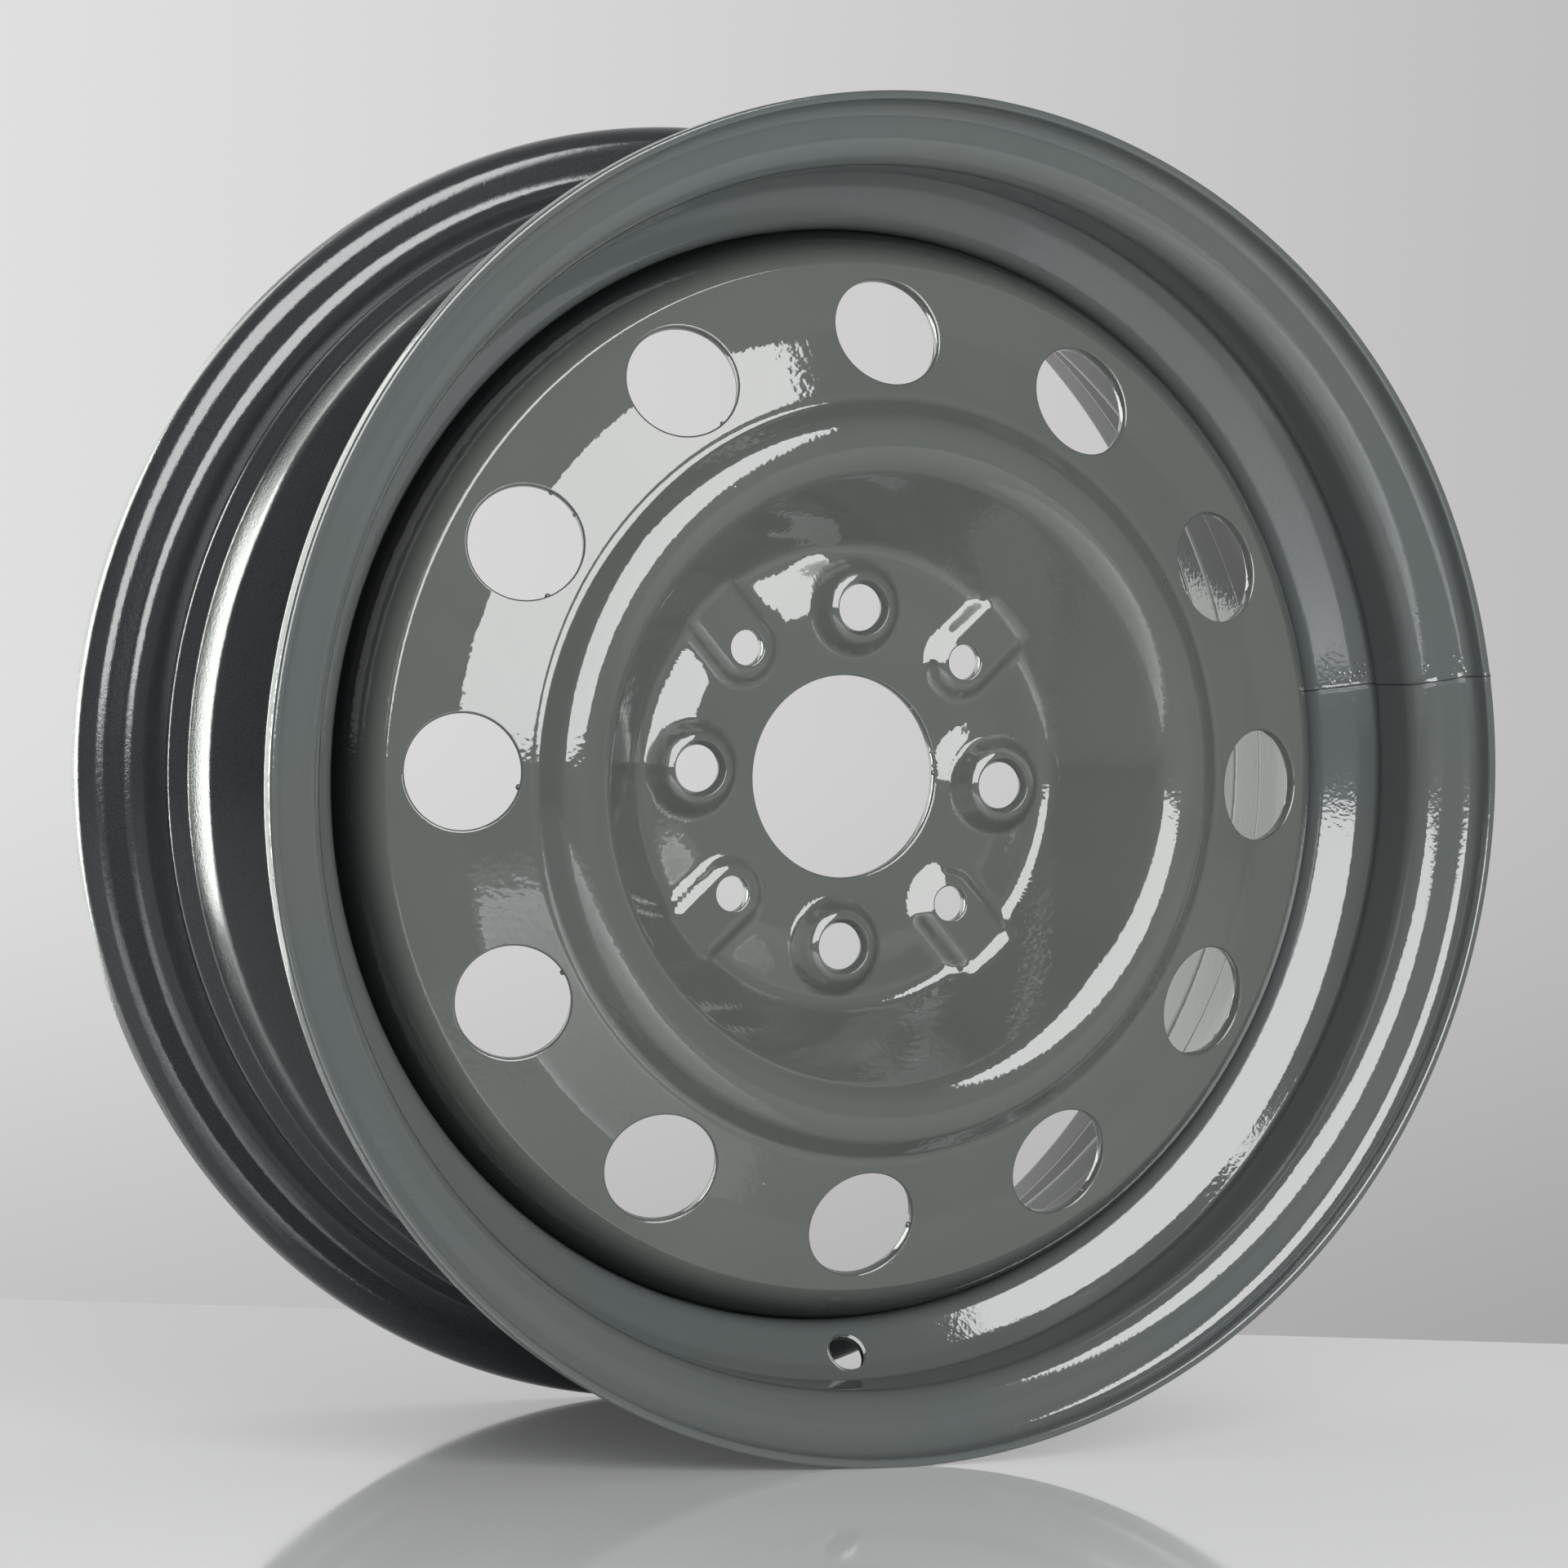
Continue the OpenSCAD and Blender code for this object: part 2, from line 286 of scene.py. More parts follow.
# Room: dim panels in front of the wheel, the light behind it, and its change from left to right
ROOM_PANELS = (0.44, 0.56)
ROOM_PANEL_SCALE = 2.2
ROOM_FRONT = (0.095, 0.165)
ROOM_DEPTH = (-0.1, 0.6)
ROOM_BACK = 0.7
ROOM_SIDES = (-0.4, 0.4, 1.15, 0.8)

# Lamps: name, shape, azimuth, elevation, distance, size, radiance, tint, and whether they are only mirrored
WHITE = (1, 1, 1)
CREAM = (0.95, 1, 0.94)
LAMPS = [
    ("key_light", "ELLIPSE", -5, 15, 1.62, (1.8, 1.8), 4.0, WHITE, False),
    ("key_mirrored", "RECTANGLE", -14, 29, 1.5, (1.48, 1.6), 12, WHITE, True),
    ("rear_strip", "RECTANGLE", -140, 4, 1.36, (0.5, 1.2), 11, CREAM, True),
    ("rear_fill", "RECTANGLE", -161, 12, 1.36, (0.45, 1.5), 2.6, CREAM, True),
]

# Camera, from the photograph's perspective
CAMERA_PLACE = (-758.265, -1503.853, 40.239)
CAMERA_AZIMUTH = -26.216
CAMERA_ELEVATION = 1.463
CAMERA_ROLL = 1.648
CAMERA_LENS = 133.35
CAMERA_CLIP = 0.05

# Finest steps: of the disc's profiles, of a slope's measure, and between points that are merged
PROFILE_TURN = 0.5
FRONT_STEP = 0.2
BOSS_STEP = 0.1
SLOPE_STEP = 0.01
MERGE = 0.002


def eased(value, low, high):
    """Rises smoothly from 0 at the low end to 1 at the high end."""
    share = np.clip((value - low) / (high - low), 0, 1)
    return share * share * (3 - 2 * share)


def plateau(value, height, start, full, fade, end):
    """Rises smoothly to a height, stays there and falls back to 0."""
    return height * eased(value, start, full) * (1 - eased(value, fade, end))


def wrapped(angle):
    """An angle from -180 up to 180 degrees."""
    return (angle + 180) % 360 - 180


def unit(v):
    return v / np.linalg.norm(v)


def left_of(v):
    return np.array([-v[1], v[0]])


def polar(r, angle):
    """Points of a plane from radius and angle."""
    return np.stack([r * np.cos(np.radians(angle)), r * np.sin(np.radians(angle))], -1)


def around(r, angle, depth):
    """World points, in millimetres, of radius, angle and depth."""
    a = np.radians(angle)
    r, a, depth = np.broadcast_arrays(r, a, depth)
    return np.stack([r * np.cos(a), -depth, r * np.sin(a)], -1)


# Paths: corners are [a, b, rounding]

def moved(corners, distance):
    """The corners of the path that runs a distance to the left of this one."""
    c = np.array(corners, float)
    headings = [unit(b - a) for a, b in zip(c[:-1, :2], c[1:, :2])]
    out = []
    for i in range(len(c)):
        before, after = headings[max(i - 1, 0)], headings[min(i, len(headings) - 1)]
        mitre = (left_of(before) + left_of(after)) / (1 + before @ after)
        side = np.sign(before[0] * after[1] - before[1] * after[0])
        out.append([*(c[i, :2] + mitre * distance), c[i, 2] - side * distance])
    return out


def corner_arc(before, corner, after, turn):
    """Points of the arc that rounds a corner."""
    here, radius = np.array(corner[:2], float), corner[2]
    back, on = unit(np.array(before[:2]) - here), unit(np.array(after[:2]) - here)
    half = math.acos(np.clip(back @ on, -1, 1)) / 2
    centre = here + unit(back + on) * radius / math.sin(half)
    start = here + back * radius / math.tan(half) - centre
    sweep = math.copysign(math.pi - 2 * half, back[1] * on[0] - back[0] * on[1])
    steps = max(2, math.ceil(abs(math.degrees(sweep)) / turn))
    angles = math.atan2(start[1], start[0]) + sweep * np.arange(steps + 1) / steps
    return centre + radius * np.column_stack([np.cos(angles), np.sin(angles)])


def trace(corners, turn, span, closed=False):
    """Points along a path, and for each corner the first and last of its points."""
    points, marks = [], []
    count = len(corners)
    for i, corner in enumerate(corners):
        if corner[2] == 0 or (not closed and i in (0, count - 1)):
            arc = np.array([corner[:2]], float)
        else:
            arc = corner_arc(corners[i - 1], corner, corners[(i + 1) % count], turn)
        if points:
            start, gap = points[-1], arc[0] - points[-1]
            pieces = max(1, math.ceil(np.linalg.norm(gap) / span))
            points.extend(start + gap * k / pieces for k in range(1, pieces))
        marks.append((len(points), len(points) + len(arc) - 1))
        points.extend(arc)
    return np.array(points), marks


def thinned(points, keep_ranges, span):
    """Places of the points that stay when straight stretches outside the kept ranges are thinned."""
    kept = [0]
    for i in range(1, len(points)):
        inside = any(a <= i <= b for a, b in keep_ranges)
        on, after = points[i] - points[i - 1], points[(i + 1) % len(points)] - points[i]
        straight = unit(on) @ unit(after) > 1 - 1e-9
        if inside or not straight or np.linalg.norm(points[i] - points[kept[-1]]) >= span:
            kept.append(i)
    return np.array(kept)


def path_normals(along):
    """Unit normals to the left of a path's headings."""
    normals = np.column_stack([-along[:, 1], along[:, 0]])
    return normals / np.linalg.norm(along, axis=1)[:, None]


# Meshes

def add_object(name, data):
    item = bpy.data.objects.new(name, data)
    bpy.context.scene.collection.objects.link(item)
    return item


class Skin:
    """Collects grids of points, and makes one welded mesh of them.

    A point may have a normal that it is shaded with, and has a share of dark colour: the rim's dark coat
    on its tyre side, and painted shade on the disc.
    """

    def __init__(self):
        self.points, self.quads, self.normals, self.coats = [], [], [], []
        self.count = 0

    def grid(self, rows, ring=False, skip=None, normals=None, coat=0.0):
        """Adds rows of points. Each row closes on itself, and the rows do if ring."""
        rows = np.asarray(rows, float)
        n, m = rows.shape[:2]
        index = self.count + np.arange(n * m).reshape(n, m)
        down = np.roll(index, -1, 0) if ring else np.vstack([index[1:], index[-1:]])
        right = np.roll(index, -1, 1)
        both = np.roll(down, -1, 1)
        keep = np.ones((n, m), bool)
        keep[-1, :] = ring
        if skip is not None:
            keep &= ~skip
        self.quads.append(np.stack([index, right, both, down], -1)[keep])
        self.points.append(rows.reshape(-1, 3))
        self.normals.append(np.zeros((n * m, 3)) if normals is None else np.reshape(normals, (-1, 3)))
        self.coats.append(np.broadcast_to(coat, (n, m)).reshape(-1))
        self.count += n * m

    def mesh(self, name):
        """The collected grids as a mesh, with their normals and coats as attributes."""
        mesh = bpy.data.meshes.new(name)
        mesh.from_pydata(np.vstack(self.points) * MM, [], np.vstack(self.quads).tolist())
        mesh.attributes.new("shade", "FLOAT_VECTOR", "POINT")
        mesh.attributes.new("coat", "FLOAT", "POINT")
        mesh.attributes["shade"].data.foreach_set("vector", np.vstack(self.normals).ravel())
        mesh.attributes["coat"].data.foreach_set("value", np.concatenate(self.coats))
        return mesh

    def build(self, name, material):
        """A piece that rides on the root."""
        mesh = self.mesh(name)
        weld(mesh)
        shade(mesh)
        mesh.materials.append(material)
        piece = add_object(name, mesh)
        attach(piece, "root")
        return piece


def weld(mesh):
    """Joins the grids where their points meet, and turns all faces outward."""
    shape = bmesh.new()
    shape.from_mesh(mesh)
    bmesh.ops.remove_doubles(shape, verts=shape.verts, dist=MERGE * MM)
    bmesh.ops.delete(shape, geom=[v for v in shape.verts if not v.link_faces], context="VERTS")
    bmesh.ops.recalc_face_normals(shape, faces=shape.faces)
    shape.to_mesh(mesh)
    shape.free()


def shade(mesh):
    """Shades a mesh smoothly, with its points' own normals where they have some."""
    mesh.polygons.foreach_set("use_smooth", [True] * len(mesh.polygons))
    normals = np.empty(len(mesh.vertices) * 3)
    mesh.attributes["shade"].data.foreach_get("vector", normals)
    mesh.attributes.remove(mesh.attributes["shade"])
    mesh.normals_split_custom_set_from_vertices(normals.reshape(-1, 3))


def loop_of(columns, rows):
    """Walks once round a window: down its first column, along, up the last one and back."""
    first = [(columns[0], r) for r in rows]
    along = [(c, rows[-1]) for c in columns[1:]]
    last = [(columns[-1], r) for r in rows[-2::-1]]
    return first + along + last + [(c, rows[0]) for c in columns[-2:0:-1]]


# Rim

seat_r = LIP_R - FLANGE_HEIGHT
well_r = seat_r - WELL_DEPTH
half_width = (RIM_FRONT - RIM_BACK) / 2 - LIP_REACH
seat_end = half_width - SEAT_LENGTH
seat_end_r = seat_r - SEAT_LENGTH * math.tan(math.radians(SEAT_TAPER))
hump_r = seat_end_r + HUMP_HEIGHT
hump_end = seat_end - HUMP_RISE
slope_top = hump_end - HUMP_CREST
ledge_r = seat_r - LEDGE_DEPTH

tyre_side = [
    [LIP_R, half_width + LIP_REACH, 0],
    [LIP_R, half_width, CURL_RADIUS],
    [seat_r, half_width, SEAT_CORNER],
    [seat_end_r, seat_end, HUMP_ROUNDING],
    [hump_r, hump_end, HUMP_ROUNDING],
    [hump_r, slope_top, SLOPE_ROUNDING],
    [well_r, WELL_FRONT, WELL_ROUNDING],
    [well_r, -WELL_BACK, RAMP_ROUNDING],
    [ledge_r, -RAMP_TOP, RAMP_ROUNDING],
    [ledge_r, -hump_end + LEDGE_SLOPE, HUMP_ROUNDING],
    [hump_r, -hump_end, HUMP_ROUNDING],
    [seat_end_r, -seat_end, HUMP_ROUNDING],
    [seat_r, -half_width, SEAT_CORNER],
    [LIP_R, -half_width, CURL_RADIUS],
    [LIP_R, -half_width - LIP_REACH, 0],
]

# The corners at which the outboard slope and the ledge start
SLOPE = 5
LEDGE = 8


def rim_section():
    """The rim's closed section and its share of the dark coat.

    Also gives the first and last points of the slope's tyre side, of its open side and of the ledge.
    """
    outside = [list(c) for c in tyre_side]
    inside = [list(c) for c in moved(tyre_side, -RIM_SHEET)]
    for side in (outside, inside):
        side[0][2] = side[-1][2] = RIM_EDGE
    corners = outside + inside[::-1]
    points, marks = trace(corners, turn=RIM_TURN, span=RIM_STEP, closed=True)
    last = len(corners) - 1
    outer = (marks[SLOPE][1], marks[SLOPE + 1][0])
    inner = (marks[last - SLOPE - 1][1], marks[last - SLOPE][0])
    ledge = (marks[LEDGE][1], marks[LEDGE + 1][0])
    coat = np.zeros(len(points))
    coat[marks[1][1]:marks[len(outside) - 1][1] + 1] = 1
    kept = thinned(points, [outer, inner], span=RIM_LONG_STEP)
    places = [np.searchsorted(kept, span) for span in (outer, inner, ledge)]
    return points[kept], coat[kept], *places


def slope_shade(points, well_end, hump_end):
    """Normals of the outboard slope: a plain cone that bends up towards its hump end."""
    r = np.hypot(points[..., 0], points[..., 2])
    share = eased((r - well_end) / (hump_end - well_end), *SLOPE_BEND)
    tilt = np.radians(SLOPE_TILT[0] + (SLOPE_TILT[1] - SLOPE_TILT[0]) * share)
    inward = -np.sin(tilt) / r
    return np.stack([inward * points[..., 0], -np.cos(tilt), inward * points[..., 2]], -1)


def rim_columns():
    """Angles of the rim's columns, counted from the valve, with more of them across the seam."""
    even = wrapped(360 / RIM_COLUMNS * np.arange(RIM_COLUMNS))
    half = math.degrees(SEAM_HALF_WIDTH / seat_r)
    seam = wrapped(SEAM_ANGLE - VALVE_ANGLE)
    across = seam + half * np.linspace(-1, 1, SEAM_COLUMNS)
    return np.sort(np.concatenate([even[np.abs(even - seam) > SEAM_CLEARANCE * half], across]))


class SlopeSide:
    """One side of the outboard slope, as a plane with its middle on the valve's axis."""

    def __init__(self, top, bottom):
        valve = np.array([math.hypot(VALVE_PLACE.x, VALVE_PLACE.z), -VALVE_PLACE.y]) / MM - [0, RIM_MIDDLE]
        self.along = unit(bottom - top)
        self.normal = np.array([self.along[1], -self.along[0]])
        self.middle = top + self.along * ((valve - top) @ self.along)

    def flat(self, angle, point):
        """A point of the rim in the plane: across the slope and down it."""
        down = (point - self.middle) @ self.along
        return math.radians(angle - VALVE_ANGLE) * (self.middle[0] + down * self.along[0]), down

    def place(self, flat, sunk=0):
        """World points of the plane's points, sunk into the sheet."""
        r = self.middle[0] + flat[:, 1] * self.along[0] + sunk * self.normal[0]
        s = self.middle[1] + flat[:, 1] * self.along[1] + sunk * self.normal[1]
        return around(r, VALVE_ANGLE + np.degrees(flat[:, 0] / r), s + RIM_MIDDLE)


class RimSheet:
    """The rim's section and columns, with a window in its slope for the valve hole."""

    def __init__(self):
        self.section, self.coat, self.outer, self.inner, self.ledge = rim_section()
        self.angles = VALVE_ANGLE + rim_columns()
        self.slope_ends = self.section[self.inner, 0]
        centre = int(np.argmin(np.abs(self.angles - VALVE_ANGLE)))
        half = VALVE_COLUMNS // 2
        self.window = list(range(centre - half, centre + half + 1))

    def normals(self):
        """Normals of the section, with the ledge's tilt."""
        normals = path_normals(np.roll(self.section, -1, 0) - np.roll(self.section, 1, 0))
        tilt = math.radians(LEDGE_TILT)
        normals[self.ledge[0]:self.ledge[1] + 1] = math.cos(tilt), math.sin(tilt)
        return normals

    def add_sheet(self, skin):
        """The whole hoop with its raised seam, less the window."""
        normals, angles = self.normals(), self.angles
        from_seam = np.abs(np.radians(wrapped(angles - SEAM_ANGLE))) * seat_r
        across = np.clip(from_seam / SEAM_HALF_WIDTH, 0, 1)
        lift = SEAM_HEIGHT * (0.5 + 0.5 * np.cos(np.pi * across))
        r = self.section[None, :, 0] + lift[:, None] * normals[None, :, 0]
        depth = self.section[None, :, 1] + lift[:, None] * normals[None, :, 1] + RIM_MIDDLE
        rows = around(r, angles[:, None], depth)
        shade = around(normals[None, :, 0], angles[:, None], normals[None, :, 1])
        slope = slice(self.inner[0], self.inner[1] + 1)
        shade[:, slope] = slope_shade(rows[:, slope], *self.slope_ends)
        shade[across < 1] = 0
        skip = np.zeros(rows.shape[:2], bool)
        for first, last in (self.outer, self.inner):
            skip[self.window[0]:self.window[-1], first:last] = True
        skin.grid(rows, ring=True, skip=skip, normals=shade, coat=self.coat)

    def side(self, stops):
        """One side of the slope, and the loop round the window in its plane."""
        side = SlopeSide(self.section[stops[0]], self.section[stops[-1]])
        loop = [side.flat(self.angles[c], self.section[s]) for c, s in loop_of(self.window, stops)]
        return side, np.array(loop)

    def add_valve_hole(self, skin):
        """The window's filling, from the tyre side through the hole to the open side."""
        tyre, tyre_loop = self.side(list(range(self.outer[0], self.outer[1] + 1)))
        open_side, open_loop = self.side(list(range(self.inner[1], self.inner[0] - 1, -1)))
        turn = np.arctan2(tyre_loop[:, 1], tyre_loop[:, 0])
        circle = np.column_stack([np.cos(turn), np.sin(turn)])
        edge = circle * (VALVE_R + VALVE_EDGE)
        shares = np.linspace(1, 0, VALVE_RINGS)
        rounding = [(VALVE_R + VALVE_EDGE * (1 - math.sin(a)), VALVE_EDGE * (1 - math.cos(a)))
                    for a in np.radians(VALVE_ROUNDING)]
        rows = [tyre.place(edge + (tyre_loop - edge) * s) for s in shares]
        rows += [tyre.place(circle * r, -sunk) for r, sunk in rounding]
        rows += [open_side.place(circle * r, sunk) for r, sunk in rounding[::-1]]
        face = [open_side.place(edge + (open_loop - edge) * s) for s in shares[::-1]]
        shade = np.zeros((len(rows) + len(face), len(circle), 3))
        shade[len(rows):] = slope_shade(np.array(face), *self.slope_ends)
        coat = np.zeros((len(shade), 1))
        coat[:len(shares)] = 1
        skin.grid(rows + face, normals=shade, coat=coat)


def make_rim(material):
    sheet = RimSheet()
    skin = Skin()
    sheet.add_sheet(skin)
    sheet.add_valve_hole(skin)
    piece = skin.build("rim_shell", material)
    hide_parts("rim")


# Disc

def vent_cone(r):
    """Depth of the cone that the vents lie in."""
    return VENT_DEPTH - (r - VENT_RADIUS) * math.tan(math.radians(VENT_ANGLE))


wall_slope = math.tan(math.radians(WALL_ANGLE))
disc_front = [
    [WALL_START, DISC_SHEET + (WALL_START - HUB_RADIUS) * wall_slope, 0],
    [*CREST, CREST_ROUNDING],
    [VALLEY_RADIUS, vent_cone(VALLEY_RADIUS), VALLEY_FILLET],
    [DISC_R, vent_cone(DISC_R), SHOULDER_ROUNDING],
    [DISC_R, DISC_EDGE_DEPTH, 0],
]
fine_front, _ = trace(disc_front, turn=PROFILE_TURN, span=FRONT_STEP)
fine_collar, _ = trace(COLLAR, turn=PROFILE_TURN, span=BOSS_STEP)
fine_pad, _ = trace(PAD, turn=PROFILE_TURN, span=BOSS_STEP)

# Angles of the bolts and pins, and of the columns in the hub and among the vents
bolt_angles = [BOLT_TURN + k * 360 / BOLT_COUNT for k in range(BOLT_COUNT)]
pin_angles = [PIN_TURN + k * 360 / BOLT_COUNT for k in range(BOLT_COUNT)]
pitch = 360 / DISC_COLUMNS
hub_angles = BOLT_TURN - 180 / (2 * BOLT_COUNT) + pitch * np.arange(DISC_COLUMNS)
vent_angles = -180 / VENT_COUNT + pitch * np.arange(DISC_COLUMNS)


def offset_from(x, z, radius, angle):
    """The way to points from the one at a radius and angle, and its length."""
    turn = math.radians(angle)
    out_x, out_z = x - radius * math.cos(turn), z - radius * math.sin(turn)
    return out_x, out_z, np.hypot(out_x, out_z)


def from_bolts(x, z):
    """For each bolt, the way to points from its axis, and its length."""
    return [offset_from(x, z, BOLT_RADIUS, angle) for angle in bolt_angles]


def from_pads(x, z):
    """Distance from the middle line of the nearest pad."""
    nearest = np.full_like(x, HUB_BAND[1])
    for pin in np.radians(pin_angles):
        out = x * math.cos(pin) + z * math.sin(pin) - PIN_RADIUS
        across = z * math.cos(pin) - x * math.sin(pin)
        nearest = np.minimum(nearest, np.hypot(np.minimum(out, 0), across))
    return nearest


def hub_floor(x, z):
    """Depth of the hub face with its collars and pads."""
    height = np.interp(from_pads(x, z), fine_pad[:, 0], fine_pad[:, 1])
    for _, _, away in from_bolts(x, z):
        height = np.maximum(height, np.interp(away, fine_collar[:, 0], fine_collar[:, 1]))
    return DISC_SHEET + height


def blend_up(rise):
    """How far a fillet lifts the hub's floor, where the wall stands this much above it."""
    reach = BOWL_FILLET * math.tan(math.radians(WALL_ANGLE / 2))
    place = np.clip(rise / wall_slope + reach, 0, None)
    arc = BOWL_FILLET - np.sqrt(np.clip(BOWL_FILLET ** 2 - place ** 2, 0, None))
    return np.where(rise > reach * math.sin(math.radians(WALL_ANGLE)), rise, arc)


def front_depth(x, z):
    """Depth of the disc's front inside its shoulder."""
    r = np.hypot(x, z)
    wall = np.interp(r, fine_front[:, 0], fine_front[:, 1])
    floor = hub_floor(x, z)
    return np.where(r < CREST[0], floor + blend_up(wall - floor), wall)


def front_slopes(x, z):
    """How the front's depth grows along x and along z."""
    step = SLOPE_STEP
    slope_x = (front_depth(x + step, z) - front_depth(x - step, z)) / (2 * step)
    slope_z = (front_depth(x, z + step) - front_depth(x, z - step)) / (2 * step)
    return slope_x, slope_z


def normal_of(slope_x, slope_z):
    """Outboard normals of slopes."""
    normal = np.stack([-slope_x, -np.ones_like(slope_x), -slope_z], -1)
    return normal / np.linalg.norm(normal, axis=-1, keepdims=True)


def front_normal(x, z):
    return normal_of(*front_slopes(x, z))


def front(flat):
    """World points of the disc's front, of points in its plane."""
    return np.stack([flat[..., 0], -front_depth(flat[..., 0], flat[..., 1]), flat[..., 1]], -1)


def back(flat):
    """World points of the disc's back, one sheet behind the front."""
    return front(flat) - DISC_SHEET * front_normal(flat[..., 0], flat[..., 1])


def back_shade(flat):
    """Normals that the disc's back is shaded with."""
    return -front_normal(flat[..., 0], flat[..., 1])


# Fine relief of the disc's front

def on_side(out_x, out_z, side, half):
    """1 in the direction of a side, fading to 0 at half an angle from it."""
    turn = np.abs(wrapped(np.degrees(np.arctan2(out_z, out_x)) - side))
    return 1 - eased(turn, half - SIDE_FADE, half)


def skirt_slopes(x, z, bolt, side, half, reach, fall):
    """Slopes of a low skirt on one side of a collar."""
    out_x, out_z, away = offset_from(x, z, BOLT_RADIUS, bolt)
    away = away + 1e-9
    slope = plateau(away, fall, *reach) * on_side(out_x, out_z, side, half)
    return slope * out_x / away, slope * out_z / away


def collar_slopes(x, z, slope_x, slope_z):
    """The slopes of the front with the collars' softer flanks."""
    start, full, *_, fade, end = [distance for distance, _ in COLLAR_FLANK]
    for out_x, out_z, away in from_bolts(x, z):
        share = plateau(away, 1, start, full, fade, end)
        fall = np.interp(away, *zip(*COLLAR_FLANK)) / np.maximum(away, 1)
        slope_x = slope_x + share * (-fall * out_x - slope_x)
        slope_z = slope_z + share * (-fall * out_z - slope_z)
    return slope_x, slope_z


def tip_slopes(x, z, slope_x, slope_z, pin, side, half, end, foot, facing, fall):
    """The slopes of the front with the flat facet of one pad's tip."""
    out_x, out_z, away = offset_from(x, z, PIN_RADIUS, pin)
    share = (1 - eased(away, end, foot)) * on_side(out_x, out_z, side, half)
    facet = -fall * polar(1, facing)
    return slope_x + share * (facet[0] - slope_x), slope_z + share * (facet[1] - slope_z)


def ring_slope(x, z, own, plain):
    """What the relief's rings add to the front's own slope away from the axle."""
    r = np.hypot(x, z)
    crease = CREASE_SLOPE * np.exp(-((r - CREASE_RADIUS) / CREASE_WIDTH) ** 2)
    wall = plateau(r, CREST_WALL_SLOPE, *CREST_WALL)
    hub = plateau(r, HUB_FALL_SLOPE, *HUB_FALL) * plain * eased(from_pads(x, z), *PAD_MARGIN)
    flat = plateau(r, 1, *FLAT_RING)
    return crease + wall + hub - flat * (math.tan(math.radians(FLAT_RING_TILT)) + own)


def front_shade(flat):
    """Normals that the disc's front is shaded with: its own ones with the fine relief."""
    x, z = flat[..., 0], flat[..., 1]
    r = np.hypot(x, z)
    plain = 1 - eased(hub_floor(x, z) - DISC_SHEET, *PLAIN_HEIGHT)
    slope_x, slope_z = collar_slopes(x, z, *front_slopes(x, z))
    for tip in PAD_TIPS:
        slope_x, slope_z = tip_slopes(x, z, slope_x, slope_z, **tip)
    extra = ring_slope(x, z, (slope_x * x + slope_z * z) / r, plain)
    slope_x, slope_z = slope_x + extra * x / r, slope_z + extra * z / r
    for skirt in SKIRTS:
        fall_x, fall_z = skirt_slopes(x, z, **skirt)
        slope_x, slope_z = slope_x - fall_x * plain, slope_z - fall_z * plain
    return normal_of(slope_x, slope_z)


# Sectors of the disc with a hole in each

def sector_loop(band, first, last, columns, rows):
    """A sector's outline in the disc's plane."""
    angles = np.linspace(first, last, columns + 1)
    radii = np.linspace(*band, rows + 1)
    return np.array([polar(r, a) for a, r in loop_of(list(angles), list(radii))])


def hole_edge(loop, centre, turn, size):
    """The edge of an oval hole, with a point for each one of the loop round it."""
    out, across = polar(1, turn), polar(1, turn + 90)
    local = np.stack([(loop - centre) @ out, (loop - centre) @ across], -1)
    angle = np.arctan2(local[:, 1] / size[1], local[:, 0] / size[0])
    return centre + np.outer(size[0] * np.cos(angle), out) + np.outer(size[1] * np.sin(angle), across)


def wall_rows(lip, axis, wall):
    """Rows of a hole's wall below its lip."""
    inward = lip.mean(0) - lip
    inward -= np.outer(inward @ axis, axis)
    inward /= np.linalg.norm(inward, axis=1)[:, None]
    return [lip + inward * step - axis * deep for step, deep in wall]


def holed_sector(skin, loop, centre, turn, size, wall, rings, bore_shade=0):
    """A sector of the sheet with a hole: front, the hole's wall and back in one grid of rings.

    size is the hole's radius along and across the sector's middle. wall is a list of steps from the front's
    edge to the back's: how far towards the hole's middle and how deep. Its last steps, as many as the last
    argument gives, are painted near black as shade.
    """
    front_rings, back_rings, grading = rings
    edge = hole_edge(loop, centre, turn, size)
    ahead = np.array([edge + (loop - edge) * s for s in np.linspace(1, 0, front_rings + 1) ** grading])
    behind = np.array([edge + (loop - edge) * s for s in np.linspace(0, 1, back_rings + 1) ** grading])
    axis = front_normal(np.array([centre[0]]), np.array([centre[1]]))[0]
    rows = list(front(ahead))
    rows += wall_rows(rows[-1], axis, wall)
    end = len(rows)
    rows += list(back(behind))
    shade = np.zeros((len(rows), len(loop), 3))
    shade[:len(ahead)] = front_shade(ahead)
    shade[end:] = back_shade(behind)
    coat = np.zeros((len(rows), 1))
    coat[end - bore_shade:end] = 1
    skin.grid(rows, normals=shade, coat=coat)


def straight_wall(edge):
    """Steps of a plain hole's wall with its rounded edges."""
    rounding = edge * 0.99
    corners = [[0, 0, 0], [edge, 0, rounding], [edge, DISC_SHEET, rounding], [0, DISC_SHEET, 0]]
    return trace(corners, turn=EDGE_TURN, span=EDGE_STEP)[0][1:-1]


def bolt_wall(edge_r):
    """Steps of a bolt hole's wall: the conical seat and the bore below it."""
    sunk = np.interp(edge_r, fine_collar[:, 0], fine_collar[:, 1]) - COLLAR[0][1]
    corners = [
        [0, 0, 0],
        [edge_r - SEAT_TOP_R, sunk, SEAT_ROUNDINGS[0]],
        [edge_r - BOLT_R, SEAT_DEPTH + sunk, SEAT_ROUNDINGS[1]],
        [edge_r - BOLT_R, DISC_SHEET + sunk, HOLE_EDGE],
        [0, DISC_SHEET + sunk, 0],
    ]
    return trace(corners, turn=SEAT_TURN, span=SEAT_STEP)[0][1:-1]


